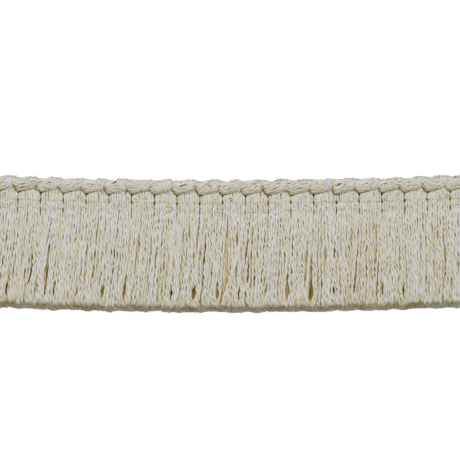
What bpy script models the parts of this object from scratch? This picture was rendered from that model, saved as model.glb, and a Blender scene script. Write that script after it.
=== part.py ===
"""A cut length of brush fringe, lying flat on its back, in metres with +Z up.

X runs along the length. +Y points from the cut ends of the skirt to the rolled edge. The back lies at
z = 0. The fringe is three solids: the rolled edge, the upper heading row, and the skirt, whose lowest
heading row is the strip that its strands are fused into. All three are cut at one list of stations
along the length, a few for each woven block.
"""

import math
import random
from collections import namedtuple

import bmesh
import bpy
from mathutils import Matrix, Vector

# Driving dimensions
BLOCKS = 22
BLOCK_PITCH = 0.0065
LENGTH = BLOCKS * BLOCK_PITCH
PIECE_GAP = 0.0003
BOW = 0.0014
BOW_HALF_SPAN = 0.0657

# Heading
STRIP_DEPTH = 0.0029
STRIP_HEIGHT = 0.0030
ROW_DEPTH = 0.0036
ROW_HEIGHT = 0.0031
ROW_CROWN = 0.0004
GROOVE_DEPTH = 0.0011
BLOCK_UNEVEN = 0.00012

# Rolled edge
ROLL_WIDTH = 0.0032
ROLL_HEIGHT = 0.0045
ROLL_AXIS_SHARE = 0.38
ROLL_SIDES = 10
LOBE_DIP = 0.0016
LOBE_SLANT = 0.5
SLANT_FADE_BLOCKS = 2.0

# Skirt
STRAND_LENGTH = 0.0281
STRAND_GAP = 0.0003
TIP_LAYER = 0.00172
LAYER_STEP_BACK = 0.0005
TIP_SLOPE = 0.0003
TIP_UNEVEN = 0.0004
TOP_UNEVEN = 0.00025
PINCH = 0.16
LEAN_LEFT = -0.0031
LEAN_RIGHT = -0.0002
LEAN_UNEVEN = 0.0003
WAVE = 0.00012
WAVE_LENGTH = 0.013

COTTON = (0.53, 0.51, 0.44, 1.0)
COTTON_ROUGHNESS = 0.9
SEED = 11

# One row for each station of a block: its place along the block, the rolled edge's girth there, how far
# the lobe's lower edge dips over the heading, how deep the groove between blocks is, and whether a
# column of strands starts there.
Station = namedtuple("Station", "along girth dip groove strands")
STATIONS = (
    Station(0.000, 0.84, 1.00, 1.0, False),
    Station(0.050, 0.93, 0.95, 0.0, True),
    Station(0.275, 1.04, 0.62, 0.0, True),
    Station(0.500, 1.03, 0.30, 0.0, True),
    Station(0.725, 0.98, 0.00, 0.0, True),
    Station(0.950, 0.86, 0.72, 0.0, False),
)

# One row for each place along a strand: the share of its length, and how far its lock is drawn together.
Draw = namedtuple("Draw", "along pinch")
LOCK = (
    Draw(0.00, 0.00),
    Draw(0.28, 0.20),
    Draw(0.55, 0.70),
    Draw(0.80, 1.00),
    Draw(1.00, 0.25),
)

# One row for each layer of strands, from the lowest up: how far it steps sideways, as a share of a
# strand's width, so that it fills the gaps in the layer above, and the places along a strand where it bends.
Layer = namedtuple("Layer", "sidestep bends")
LAYERS = (
    Layer(0.0, (0.33, 0.67, 1.0)),
    Layer(0.5, (0.50, 1.0)),
    Layer(0.0, (0.28, 0.55, 0.80, 1.0)),
)

STEPS = BLOCKS * len(STATIONS)
ROOT_LAYER = STRIP_HEIGHT / len(LAYERS)


def station(step):
    """Returns the table's row for a numbered station."""
    return STATIONS[step % len(STATIONS)]


def station_x(step):
    """Returns the place along the length of a numbered station."""
    return (step // len(STATIONS) + station(step).along) * BLOCK_PITCH - LENGTH / 2


def bow(x):
    """Returns how far the length bends towards +Y at this place, as a shallow arc."""
    return BOW * (x / BOW_HALF_SPAN) ** 2


def pinch_at(along):
    """Returns how far a lock is drawn together at this share of its strands' length."""
    for low, high in zip(LOCK, LOCK[1:]):
        if along <= high.along:
            share = (along - low.along) / (high.along - low.along)
            return PINCH * (low.pinch + share * (high.pinch - low.pinch))
    return PINCH * LOCK[-1].pinch


def cut_edges(bm, axis, cuts):
    """Cuts every edge that runs along an axis (0 for X, 1 for Y, 2 for Z) into equal parts."""
    edges = []
    for edge in bm.edges:
        run = edge.verts[1].co - edge.verts[0].co
        if abs(run[axis]) > 0.99 * run.length:
            edges.append(edge)
    bmesh.ops.subdivide_edges(bm, edges=edges, cuts=cuts)


def station_box(low, high, rows_across, layers):
    """Makes a box that is cut across, into layers and at the stations.

    Returns the bmesh, and a dictionary from each vertex to the number of its station.
    """
    bm = bmesh.new()
    bmesh.ops.create_cube(bm, size=1.0)
    size = Vector(high) - Vector(low)
    bmesh.ops.scale(bm, vec=size, verts=bm.verts)
    bmesh.ops.translate(bm, vec=(Vector(high) + Vector(low)) / 2, verts=bm.verts)
    if rows_across > 1:
        cut_edges(bm, 1, rows_across - 1)
    if layers > 1:
        cut_edges(bm, 2, layers - 1)
    cut_edges(bm, 0, STEPS - 1)
    steps = {vert: round((vert.co.x - low[0]) / size.x * STEPS) for vert in bm.verts}
    return bm, steps


def raise_blocks(steps, low_y, high_y, height, chance):
    """Moves a box's vertices to the stations, and raises crowned blocks with grooves in its top."""
    heights = [height + chance.uniform(-BLOCK_UNEVEN, BLOCK_UNEVEN) for _ in range(BLOCKS + 1)]
    middle_y = (low_y + high_y) / 2
    for vert, step in steps.items():
        away = abs(vert.co.y - middle_y) / (high_y - middle_y)
        top = heights[step // len(STATIONS)] - away * ROW_CROWN - station(step).groove * GROOVE_DEPTH
        vert.co.x = station_x(step)
        vert.co.z *= top / height


def finished(name, bm):
    """Bends the bmesh along the fringe's bow, and makes it an object with its own cotton material."""
    for vert in bm.verts:
        vert.co.y += bow(vert.co.x)
    bmesh.ops.recalc_face_normals(bm, faces=bm.faces)
    mesh = bpy.data.meshes.new(name)
    bm.to_mesh(mesh)
    bm.free()
    material = bpy.data.materials.new(f"{name}_cotton")
    material.use_nodes = True
    shader = material.node_tree.nodes["Principled BSDF"]
    shader.inputs["Base Color"].default_value = COTTON
    shader.inputs["Roughness"].default_value = COTTON_ROUGHNESS
    shader.inputs["Metallic"].default_value = 0.0
    mesh.materials.append(material)
    obj = bpy.data.objects.new(name, mesh)
    bpy.context.scene.collection.objects.link(obj)
    return obj


def edge_roll():
    """Builds the rolled edge: one slanted lobe a block, each lapping over the lobe on its left."""
    bm = bmesh.new()
    lying = Matrix.Rotation(math.pi / 2, 4, "Y")
    bmesh.ops.create_cone(
        bm, cap_ends=True, segments=ROLL_SIDES, radius1=1.0, radius2=1.0, depth=STEPS, matrix=lying
    )
    cut_edges(bm, 0, STEPS - 1)
    low_y = STRIP_DEPTH + PIECE_GAP + ROW_DEPTH + PIECE_GAP
    for vert in bm.verts:
        step = round(vert.co.x + STEPS / 2)
        across = vert.co.y
        up = vert.co.z
        row = station(step)
        upper_share = (1 + across) / 2
        fade = (LENGTH / 2 - abs(station_x(step))) / (SLANT_FADE_BLOCKS * BLOCK_PITCH)
        girth = row.girth if across > 0 else 1.0
        vert.co.x = station_x(step) - LOBE_SLANT * BLOCK_PITCH * upper_share * min(1.0, fade)
        vert.co.y = low_y + (1 + across * girth) * ROLL_WIDTH / 2 - row.dip * LOBE_DIP * (1 - upper_share) ** 2
        vert.co.z = max(0.0, ROLL_HEIGHT * (ROLL_AXIS_SHARE + up * row.girth / 2))
    return finished("edge_roll", bm)


def heading_row(chance):
    """Builds the upper heading row: crowned blocks, whose upper edge follows the rolled edge's lobes."""
    low_y = STRIP_DEPTH + PIECE_GAP
    high_y = low_y + ROW_DEPTH
    bm, steps = station_box((-LENGTH / 2, low_y, 0.0), (LENGTH / 2, high_y, ROW_HEIGHT), 2, 1)
    raise_blocks(steps, low_y, high_y, ROW_HEIGHT, chance)
    for vert, step in steps.items():
        share = (vert.co.y - low_y) / ROW_DEPTH
        vert.co.y -= share * station(step).dip * LOBE_DIP
    return finished("heading_row", bm)


def lean_of_blocks(chance):
    """Returns how far each block's strands lean along X at their tips: least at the right, and uneven."""
    leans = []
    for block in range(BLOCKS):
        lean = LEAN_LEFT + (LEAN_RIGHT - LEAN_LEFT) * block / (BLOCKS - 1)
        leans.append(lean + chance.uniform(-LEAN_UNEVEN, LEAN_UNEVEN))
    return leans


def place_section(face, centre, width, height):
    """Makes a strand's end face an upright rectangle, whose upper edge is cut a little shorter."""
    middle = face.calc_center_median()
    for vert in face.verts:
        side = math.copysign(0.5, vert.co.x - middle.x)
        level = math.copysign(0.5, vert.co.z - middle.z)
        vert.co = centre + Vector((side * width, (level + 0.5) * TIP_SLOPE, level * height))


def grow_layer(bm, layer, faces, root_key, leans, chance):
    """Extrudes one layer of strands from their root faces, bend by bend, to their cut tips."""
    lengths = {}
    lifts = {}
    for face in faces:
        uneven = chance.uniform(-TIP_UNEVEN, TIP_UNEVEN)
        lengths[face[root_key]] = STRAND_LENGTH - layer * LAYER_STEP_BACK + uneven
        lifts[face[root_key]] = chance.uniform(0, TOP_UNEVEN) if layer == len(LAYERS) - 1 else 0.0
    for along in LAYERS[layer].bends:
        faces = bmesh.ops.extrude_discrete_faces(bm, faces=faces)["faces"]
        layer_height = ROOT_LAYER + along * (TIP_LAYER - ROOT_LAYER)
        height = layer_height - STRAND_GAP
        for face in faces:
            step = face[root_key]
            block = step // len(STATIONS)
            block_x = (block + 0.5) * BLOCK_PITCH - LENGTH / 2
            root_x = (station_x(step) + station_x(step + 1)) / 2
            drawn = 1 - pinch_at(along)
            column = (station_x(step + 1) - station_x(step)) * drawn
            width = column - STRAND_GAP
            x = block_x + (root_x - block_x) * drawn + leans[block] * along + LAYERS[layer].sidestep * column
            x += WAVE * math.sin(2 * math.pi * (root_x / WAVE_LENGTH + along)) * math.sin(math.pi * along)
            z = layer * layer_height + height / 2 + lifts[step]
            place_section(face, Vector((x, -lengths[step] * along, z)), width, height)


def brush_skirt(chance):
    """Builds the skirt: the lowest heading row, and the cut strands that are fused into its front."""
    low = (-LENGTH / 2, 0.0, 0.0)
    high = (LENGTH / 2, STRIP_DEPTH, STRIP_HEIGHT)
    bm, steps = station_box(low, high, 2, len(LAYERS))
    root_key = bm.faces.layers.int.new("root")
    layers = [[] for _ in LAYERS]
    for face in bm.faces:
        step = min(steps[vert] for vert in face.verts)
        front = all(vert.co.y < PIECE_GAP for vert in face.verts)
        if front and station(step).strands:
            face[root_key] = step
            layers[int(face.calc_center_median().z / ROOT_LAYER)].append(face)
    raise_blocks(steps, 0.0, STRIP_DEPTH, STRIP_HEIGHT, chance)
    roots = [face for faces in layers for face in faces]
    bmesh.ops.inset_individual(bm, faces=roots, thickness=STRAND_GAP / 2, use_even_offset=True)
    leans = lean_of_blocks(chance)
    for layer, faces in enumerate(layers):
        grow_layer(bm, layer, faces, root_key, leans, chance)
    return finished("brush_skirt", bm)


def centre_on_origin(objects):
    """Moves the meshes so that the middle of the fringe's footprint is at the origin."""
    points = [vert.co for obj in objects for vert in obj.data.vertices]
    middle_x = (min(point.x for point in points) + max(point.x for point in points)) / 2
    middle_y = (min(point.y for point in points) + max(point.y for point in points)) / 2
    for obj in objects:
        obj.data.transform(Matrix.Translation((-middle_x, -middle_y, 0.0)))


def main():
    """Empties the scene, builds the three pieces and centres them."""
    for obj in list(bpy.data.objects):
        bpy.data.objects.remove(obj, do_unlink=True)
    chance = random.Random(SEED)
    centre_on_origin([edge_roll(), heading_row(chance), brush_skirt(chance)])


main()
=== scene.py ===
"""Brush fringe: the looks of a cut length of brush fringe, lying on its back in soft studio light.

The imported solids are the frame. Each one is replaced by the yarns that the real piece is made of: the
bundles that roll over the upper edge, the stitched heading row, and the skirt's cut yarns. Lengths are in
metres, X runs along the fringe, and +Y points from the cut ends to the rolled edge. On the plan of the
heading and the skirt, heights are measured from the skirt's root line towards +Y. Arrays have one row for
each yarn and one column for each ring along it.
"""

from __future__ import annotations

import logging
import math
from dataclasses import dataclass, replace
from enum import Enum, IntEnum

import bmesh
import bpy
import numpy as np
from mathutils import Matrix, Vector


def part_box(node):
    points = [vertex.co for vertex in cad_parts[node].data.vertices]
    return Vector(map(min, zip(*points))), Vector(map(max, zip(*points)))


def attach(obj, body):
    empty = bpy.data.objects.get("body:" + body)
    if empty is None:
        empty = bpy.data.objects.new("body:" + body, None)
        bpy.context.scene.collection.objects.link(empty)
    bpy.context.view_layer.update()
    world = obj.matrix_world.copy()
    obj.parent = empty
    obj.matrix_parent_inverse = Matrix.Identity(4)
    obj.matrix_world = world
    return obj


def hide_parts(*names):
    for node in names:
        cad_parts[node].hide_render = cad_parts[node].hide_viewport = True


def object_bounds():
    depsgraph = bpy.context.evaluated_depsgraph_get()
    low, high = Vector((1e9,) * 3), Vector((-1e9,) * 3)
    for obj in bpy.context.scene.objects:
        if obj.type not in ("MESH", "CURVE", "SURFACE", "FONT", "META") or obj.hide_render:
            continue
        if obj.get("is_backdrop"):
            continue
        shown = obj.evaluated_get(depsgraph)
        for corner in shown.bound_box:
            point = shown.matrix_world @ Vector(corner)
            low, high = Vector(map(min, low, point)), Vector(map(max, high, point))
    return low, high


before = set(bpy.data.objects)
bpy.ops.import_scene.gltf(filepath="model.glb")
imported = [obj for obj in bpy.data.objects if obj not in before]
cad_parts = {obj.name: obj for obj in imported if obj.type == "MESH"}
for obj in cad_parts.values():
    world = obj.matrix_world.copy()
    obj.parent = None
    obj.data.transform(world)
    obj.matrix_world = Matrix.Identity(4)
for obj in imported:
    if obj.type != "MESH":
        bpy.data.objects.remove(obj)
CAD_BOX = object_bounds()

LOG = logging.getLogger("brush_fringe")
MM = 0.001
FULL_TURN = 2 * math.pi
BODY = "root"
FUZZ = "edge_fuzz"
SKIN = "rolled_edge_yarns"
UP = np.array((0.0, 0.0, 1.0))
WHITE = (1.0, 1.0, 1.0, 1.0)
FLOOR_GAP = 0.02 * MM

# How far apart a straight yarn's plies stand, in radii of a ply.
PLY_STEP = 4.0
# How far a yarn strays from its even place, as a share of the way to the next one.
PLACE_STRAY = 0.12
# How far on the fibres' pattern starts on the next yarn and on the next ply, in millimetres.
PATTERN_STEPS = (15.0, 4.4)

Array = np.ndarray
Chance = np.random.Generator


class Part(Enum):
    """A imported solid, with the material slot of the yarns that stand for it."""

    SKIRT = ("brush_skirt", "skirt_yarn")
    ROW = ("heading_row", "heading_yarn")
    EDGE = ("edge_roll", "edge_yarn")

    @property
    def node(self) -> str:
        """Returns the solid's node."""
        return self.value[0]

    @property
    def slot(self) -> str:
        """Returns the material slot."""
        return self.value[1]


class Seed(IntEnum):
    """The seed of each source of unevenness, or the first one where each layer or kind has its own."""

    SLOTS = 33
    WORN_TIPS = 55
    SLOT_SHADES = 66
    CREASE_PATCHES = 67
    CREASE_LINE = 68
    LOCKS = 77
    LOBES = 88
    BUNDLES = 90
    SKIRT = 100
    ROW = 200
    ROLL_FILLING = 300
    ROLL_CORE = 301
    ROLL_SKIN = 302
    ROLL_BANDS = 303
    STITCHES = 401
    FUZZ = 501


Materials = dict[Part | str, bpy.types.Material]


def seeded(seed: int) -> Chance:
    """Returns a source of unevenness that is the same in each run."""
    return np.random.default_rng(seed)


def held(share: Array) -> Array:
    """Returns a share, held between 0 and 1."""
    return np.clip(share, 0, 1)


def eased(share: Array) -> Array:
    """Returns a share, held between 0 and 1, with a soft start and end."""
    share = held(share)
    return share * share * (3 - 2 * share)


def bump(x: Array, middle: Array | float, width: Array | float) -> Array:
    """Returns a smooth bump of height 1 at its middle."""
    return np.exp(-(((x - middle) / width) ** 2))


def facing_out(angle: Array) -> Array:
    """Returns the directions out of a roll at angles round it from the front."""
    return np.stack([np.zeros_like(angle), -np.cos(angle), np.sin(angle)], axis=2)


def drift(chance: Chance, x: Array, height: float, lengths: tuple[float, ...]) -> Array:
    """Works out a smooth unevenness along a line, made of a few waves.

    Args:
        chance: The source of where each wave starts.
        x: The places along the line.
        height: The height of the waves in all.
        lengths: The length of each wave, in millimetres.

    Returns:
        The unevenness at each place.
    """
    phases = chance.uniform(0, FULL_TURN, len(lengths))
    waves = [np.sin(FULL_TURN * x / (length * MM) + phase) for length, phase in zip(lengths, phases)]
    return height * sum(waves) / math.sqrt(len(waves))


def yarn_waves(chance: Chance, below: Array, sizes: tuple[tuple[float, float], ...], uneven: bool) -> Array:
    """Works out the waves that yarns have from hanging loose, each yarn its own.

    Args:
        chance: The source of where each wave starts.
        below: How far below the root line each point is.
        sizes: The length and the height of each wave.
        uneven: Whether the yarns' waves differ in length.

    Returns:
        How far each point is moved.
    """
    moved = np.zeros(below.shape)
    column = (len(below), 1)
    for length, height in sizes:
        phase = chance.uniform(0, FULL_TURN, column)
        stretch = chance.uniform(0.8, 1.3, column) if uneven else 1.0
        moved += height * np.sin(FULL_TURN * below / length * stretch + phase)
    return moved


@dataclass(frozen=True)
class Plan:
    """The lines that the heading and the skirt are laid out on.

    Attributes:
        left, right: The ends of the heading.
        root: The skirt's root line, at the middle of the length.
        blocks: The number of woven blocks.
        bow, bow_span: How far the length bends towards +Y, and how far from its middle it bends so far.
        strip: The depth of the lower heading row.
        crease: The height of the crease between the two heading rows.
        notch: The height of the notches under the rolled edge.
        free: The length of the skirt's yarns below the root line.
        root_height, tip_height: How far the heading and the cut ends stand off the floor.
        lean_left, lean_right: How far the locks at either end lean along X.
        slot: The width of the slots between blocks where they are narrowest, where the blocks just touch.
        slot_wide: How much wider a slot is where the stitches draw it open.
        slot_stray: How far the openings stray up and down.
        slot_low: The height of the opening at the root line.
        slot_reaches: How far the openings at the crease, the root line and the notch reach along a slot.
        slot_shares: The least and the most share of its width that either of the first two has.
    """

    left: float
    right: float
    root: float
    blocks: int = 22
    bow: float = 1.4 * MM
    bow_span: float = 65.7 * MM
    strip: float = 2.9 * MM
    crease: float = 3.05 * MM
    notch: float = 5.55 * MM
    free: float = 28.35 * MM
    root_height: float = 3.0 * MM
    tip_height: float = 5.1 * MM
    lean_left: float = -3.1 * MM
    lean_right: float = -0.2 * MM
    slot: float = -0.02 * MM
    slot_wide: float = 0.44 * MM
    slot_stray: float = 0.22 * MM
    slot_low: float = 0.1 * MM
    slot_reaches: tuple[float, float, float] = (0.55 * MM, 0.5 * MM, 0.6 * MM)
    slot_shares: tuple[float, float] = (0.3, 1.4)

    @classmethod
    def from_frame(cls) -> Plan:
        """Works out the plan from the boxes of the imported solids.

        Returns:
            The plan.
        """
        row_low, row_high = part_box(Part.ROW.node)
        strip_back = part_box(Part.SKIRT.node)[1][1]
        half = (row_high[0] - row_low[0]) / 2
        end_bow = cls.bow * (half / cls.bow_span) ** 2
        return cls(left=row_low[0], right=row_high[0], root=strip_back - cls.strip - end_bow)

    @property
    def pitch(self) -> float:
        """Returns the width of a block."""
        return (self.right - self.left) / self.blocks

    def bow_at(self, x: Array) -> Array:
        """Returns how far the length bends towards +Y at x."""
        return self.bow * ((x - (self.left + self.right) / 2) / self.bow_span) ** 2

    def edge_of(self, block: Array) -> Array:
        """Returns the left edge of a block, which may be a fraction along one."""
        return self.left + self.pitch * np.asarray(block, dtype=float)

    def lean_at(self, x: Array) -> Array:
        """Returns how far a lock rooted at x leans along X at its tip."""
        share = held((x - self.left) / (self.right - self.left))
        return self.lean_left + (self.lean_right - self.lean_left) * share

    def pile_at(self, below: Array) -> Array:
        """Returns how far the pile stands off the floor at a distance below the root line."""
        return self.root_height + (self.tip_height - self.root_height) * held(below / self.free) ** 0.8

    def slot_at(self, height: Array, block: Array) -> Array:
        """Works out how far the stitches draw open the slots beside a block.

        Args:
            height: The height of each point on the plan.
            block: The number of each point's block.

        Returns:
            The width of the slots at each point.
        """
        chance = seeded(Seed.SLOTS)
        height = height + chance.normal(0, self.slot_stray, self.blocks)[block]
        upper, lower = chance.uniform(*self.slot_shares, (2, self.blocks))
        middles = (self.crease, self.slot_low, self.notch)
        at_crease, at_root, at_notch = (bump(height, *place) for place in zip(middles, self.slot_reaches))
        return self.slot + self.slot_wide * (upper[block] * at_crease + lower[block] * at_root + at_notch)

    def at(self, x: Array, y: Array, z: Array) -> Array:
        """Returns points of the fringe as it lies, from their places on the plan."""
        x, y, z = np.broadcast_arrays(x, y, z)
        return np.stack([x, self.root + y + self.bow_at(x), z], axis=-1)

    def heights(self, points: Array) -> Array:
        """Returns the height on the plan of points of the fringe as it lies."""
        return points[..., 1] - self.root - self.bow_at(points[..., 0])


@dataclass(frozen=True)
class Lobe:
    """The outline of one lobe of the rolled edge, by how far it is along its block.

    Attributes:
        along: Places along the block, where 0 is its notch and 1 is the next one.
        low, high: The heights of the lobe's lower and upper edge on the plan at each place.
        top: The lobe's height off the floor at each place.
        front: The height off the floor at which its lower edge meets the heading.
        back: The height off the floor of its widest line at the back.
    """

    along: tuple[float, ...] = (-0.35, 0.0, 0.15, 0.4, 0.75, 1.0, 1.3)
    low: tuple[float, ...] = (5.6 * MM, 5.45 * MM, 5.6 * MM, 5.95 * MM, 6.5 * MM, 6.85 * MM, 6.9 * MM)
    high: tuple[float, ...] = (9.8 * MM, 10.1 * MM, 10.35 * MM, 10.5 * MM, 10.3 * MM, 9.95 * MM, 9.75 * MM)
    top: tuple[float, ...] = (3.95 * MM, 3.95 * MM, 3.9 * MM, 3.8 * MM, 3.6 * MM, 3.45 * MM, 3.3 * MM)
    front: float = 2.3 * MM
    back: float = 1.3 * MM

    def at(self, along: Array) -> list[Array]:
        """Returns the lobe's lower edge, upper edge and top at places along its block."""
        return [np.interp(along, self.along, row) for row in (self.low, self.high, self.top)]


@dataclass(frozen=True)
class YarnForm:
    """A straight yarn of one or more plies, from which every yarn of a piece is laid.

    Attributes:
        plies: The number of plies.
        sides: The number of sides of a ply.
        rings: The number of rings along the yarn.
        ply_radius: The radius of a ply.
        spread: How far a ply's middle is from the yarn's.
        turns: How often the plies turn about each other.
        slope: How often the fibres turn about a ply.
    """

    plies: int
    sides: int
    rings: int
    ply_radius: float
    spread: float
    turns: float
    slope: float

    @property
    def radius(self) -> float:
        """Returns about half of the yarn's thickness, which varies as its plies turn."""
        return self.ply_radius + 0.6 * self.spread

    @property
    def skin(self) -> float:
        """Returns how far inside the skin of a roll the yarn's middle lies."""
        return self.ply_radius + 0.5 * self.spread

    @property
    def shares(self) -> Array:
        """Returns the place of each ring, as a share of the yarn's length."""
        return np.linspace(0, 1, self.rings)

    def straight(self) -> bmesh.types.BMesh:
        """Makes the plies side by side, as closed cylinders cut into rings.

        Returns:
            The plies, PLY_STEP apart along X, one unit long and of radius 1.
        """
        bm = bmesh.new()
        for ply in range(self.plies):
            bmesh.ops.create_cone(
                bm,
                cap_ends=True,
                segments=self.sides,
                radius1=1.0,
                radius2=1.0,
                depth=1.0,
                matrix=Matrix.Translation((PLY_STEP * ply, 0.0, 0.5)),
            )
        long_edges = [edge for edge in bm.edges if abs(edge.verts[0].co.z - edge.verts[1].co.z) > 0.5]
        bmesh.ops.subdivide_edges(bm, edges=long_edges, cuts=self.rings - 2)
        bmesh.ops.recalc_face_normals(bm, faces=bm.faces)
        return bm

    def lay(self, paths: Array, look: YarnLook, ups: Array = UP) -> YarnCloth:
        """Lays a copy of the straight yarn along each path.

        Args:
            paths: The points of each yarn's middle, one for each ring.
            look: How each yarn differs from the next.
            ups: The direction out of the cloth, at each point or everywhere.

        Returns:
            The joined mesh of all the yarns.
        """
        bm = self.straight()
        places = np.array([vert.co[:] for vert in bm.verts])
        faces = [[vert.index for vert in face.verts] for face in bm.faces]
        bm.free()
        ply = np.round(places[:, 0] / PLY_STEP).astype(int)
        ring = np.round(places[:, 2] * (self.rings - 1)).astype(int)
        angle = np.arctan2(places[:, 1], places[:, 0] - PLY_STEP * ply)
        share = self.shares[ring]

        tangents = np.gradient(paths, axis=1)
        tangents /= np.linalg.norm(tangents, axis=2, keepdims=True)
        sides = np.cross(tangents, ups)
        sides /= np.linalg.norm(sides, axis=2, keepdims=True)
        lifts = np.cross(sides, tangents)

        turned = look.turns[:, None] * share + look.wander[:, ring]
        turn = FULL_TURN * (turned + ply / self.plies) + look.phase[:, None]
        scale = look.thickness[:, ring]
        spread = self.spread * look.opening[:, ring]
        across = scale * (spread * np.cos(turn) + self.ply_radius * np.cos(angle + turn))
        above = scale * (spread * np.sin(turn) + self.ply_radius * np.sin(angle + turn))
        points = paths[:, ring] + sides[:, ring] * across[..., None] + lifts[:, ring] * above[..., None]

        # The fibres' pattern runs on along each ply in millimetres, and starts elsewhere on the next one.
        steps = np.linalg.norm(np.diff(paths, axis=1), axis=2)
        run = np.concatenate([np.zeros((len(paths), 1)), np.cumsum(steps, axis=1)], axis=1)[:, ring] / MM
        next_yarn, next_ply = PATTERN_STEPS
        run = run + next_yarn * np.arange(len(paths))[:, None] + next_ply * ply
        wound = angle - FULL_TURN * self.slope * share
        round_ply = [np.broadcast_to(wave(wound), run.shape) for wave in (np.cos, np.sin)]
        fibre = np.stack([*round_ply, run], axis=2)

        # Painted shade: a yarn is painted darkest at its foot, and where one ply faces the other, on top of
        # any added shade.
        proud = above / (scale * (spread + self.ply_radius))
        own_side = (1 - np.sin(angle + turn)) / 2
        painted_shade = look.groove[:, ring] * (((1 - proud) / 2) ** 2 + 0.4 * own_side**3) + look.sunk[:, ring]
        tone = look.tone[:, None] + look.ply_tone[:, None] * ply
        bases = len(places) * np.arange(len(paths))
        all_faces = [[index + base for index in face] for base in bases.tolist() for face in faces]
        return YarnCloth(points.reshape(-1, 3), all_faces, fibre.reshape(-1, 3), tone.ravel(), painted_shade.ravel())


# Each row gives plies, sides, rings, ply radius, spread, turns and slope.
FACE_YARN = YarnForm(2, 5, 48, 0.28 * MM, 0.21 * MM, 5.8, 9.0)
NEAR_YARN = replace(FACE_YARN, rings=34, turns=4.4)
INNER_YARN = replace(FACE_YARN, rings=22, turns=2.8)
FILL_YARN = replace(FACE_YARN, rings=10, ply_radius=0.38 * MM, spread=0.27 * MM, turns=1.5)
ROW_YARN = YarnForm(2, 5, 13, 0.36 * MM, 0.15 * MM, 0.6, 3.0)
ROW_FILL = YarnForm(2, 5, 6, 0.36 * MM, 0.20 * MM, 0.7, 3.0)
ROLL_YARN = YarnForm(2, 5, 20, 0.25 * MM, 0.12 * MM, -1.5, 5.0)
ROLL_CORE = YarnForm(2, 5, 14, 0.34 * MM, 0.26 * MM, -1.0, 4.0)
ROLL_FILL = YarnForm(2, 5, 120, 0.34 * MM, 0.26 * MM, 14.0, 60.0)
THREAD = YarnForm(2, 5, 11, 0.12 * MM, 0.09 * MM, 1.6, 2.0)
WEFT = YarnForm(1, 5, 6, 0.17 * MM, 0.0, 0.0, 1.0)
HAIR = YarnForm(1, 3, 3, 0.045 * MM, 0.0, 0.0, 0.0)
WISP = YarnForm(1, 5, 9, 0.10 * MM, 0.0, 0.0, 2.0)


@dataclass
class YarnLook:
    """How each yarn of a piece differs from the next.

    Attributes:
        phase: The angle at which its plies start.
        turns: How often its plies turn about each other.
        wander: How far ahead they are in their turning at each ring, in turns.
        thickness: Its thickness at each ring, as a share of the form's.
        tone: How dark it is, from 0 to 1.
        ply_tone: How much darker its second ply is.
        sunk: How much more shade is painted on it at each ring.
        groove: How much more shade is painted on its far side than on its crest at each ring.
        opening: How far apart its plies are at each ring, as a share of the form's.
    """

    phase: Array
    turns: Array
    wander: Array
    thickness: Array
    tone: Array
    ply_tone: Array
    sunk: Array
    groove: Array
    opening: Array

    @classmethod
    def drawn(cls, chance: Chance, count: int, form: YarnForm) -> YarnLook:
        """Draws a look for each of a number of yarns.

        Args:
            chance: The source of their unevenness.
            count: The number of yarns.
            form: The yarn that they are laid with.

        Returns:
            The look, with no added shade on any yarn.
        """
        column = (count, 1)
        beats = chance.uniform(2.5, 7.5, column)
        slubs = np.sin(FULL_TURN * (beats * form.shares + chance.uniform(0, 1, column)))
        beats = chance.uniform(2.0, 5.0, column)
        uneven = np.sin(FULL_TURN * (beats * form.shares + chance.uniform(0, 1, column)))
        return cls(
            phase=chance.uniform(0, FULL_TURN, count),
            turns=form.turns * chance.uniform(0.8, 1.2, count),
            wander=0.022 * form.turns * uneven,
            thickness=chance.uniform(0.9, 1.1, column) * (1 + 0.07 * slubs),
            tone=chance.uniform(0, 1, count),
            ply_tone=chance.uniform(-0.25, 0.25, count),
            sunk=np.zeros((count, form.rings)),
            groove=np.full((count, form.rings), 1.5),
            opening=np.ones((count, form.rings)),
        )


def put_in_scene(name: str, data: bpy.types.ID) -> bpy.types.Object:
    """Makes an object at the origin and links it to the scene.

    Args:
        name: Its name.
        data: Its mesh, lamp or camera.

    Returns:
        The object.
    """
    obj = bpy.data.objects.new(name, data)
    bpy.context.scene.collection.objects.link(obj)
    return obj


@dataclass
class YarnCloth:
    """The joined mesh of many yarns, before it is made an object.

    Attributes:
        points: The vertices.
        faces: The faces, as lists of vertex numbers.
        fibre: Each vertex's place on its ply's skin: round it, and along it in millimetres.
        tone: Each vertex's tone.
        painted_shade: How much shade is painted on each vertex for its depth in the pile, from 0 to 1.
    """

    points: Array
    faces: list[list[int]]
    fibre: Array
    tone: Array
    painted_shade: Array

    @classmethod
    def joined(cls, cloths: list[YarnCloth]) -> YarnCloth:
        """Joins cloths.

        Args:
            cloths: The cloths, which may be of different yarns.

        Returns:
            One cloth.
        """
        faces = []
        base = 0
        for cloth in cloths:
            faces += [[index + base for index in face] for face in cloth.faces]
            base += len(cloth.points)
        columns = zip(*((cloth.points, cloth.fibre, cloth.tone, cloth.painted_shade) for cloth in cloths))
        points, fibre, tone, painted_shade = (np.concatenate(column) for column in columns)
        return cls(points, faces, fibre, tone, painted_shade)

    def as_object(self, name: str, material: bpy.types.Material) -> bpy.types.Object:
        """Makes the mesh an object at the origin, with its attributes.

        Args:
            name: The object's name.
            material: Its finish.

        Returns:
            The object.
        """
        mesh = bpy.data.meshes.new(name)
        mesh.from_pydata(self.points, [], self.faces)
        mesh.shade_smooth()
        fibre = mesh.attributes.new("fibre", "FLOAT_VECTOR", "POINT")
        fibre.data.foreach_set("vector", self.fibre.astype(np.float32).ravel())
        # The random tone and the painted shade go to the material as vertex attributes.
        for label, values in (("tone", self.tone), ("painted_shade", self.painted_shade)):
            attribute = mesh.attributes.new(label, "FLOAT", "POINT")
            attribute.data.foreach_set("value", values.astype(np.float32))
        mesh.materials.append(material)
        return put_in_scene(name, mesh)


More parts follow.
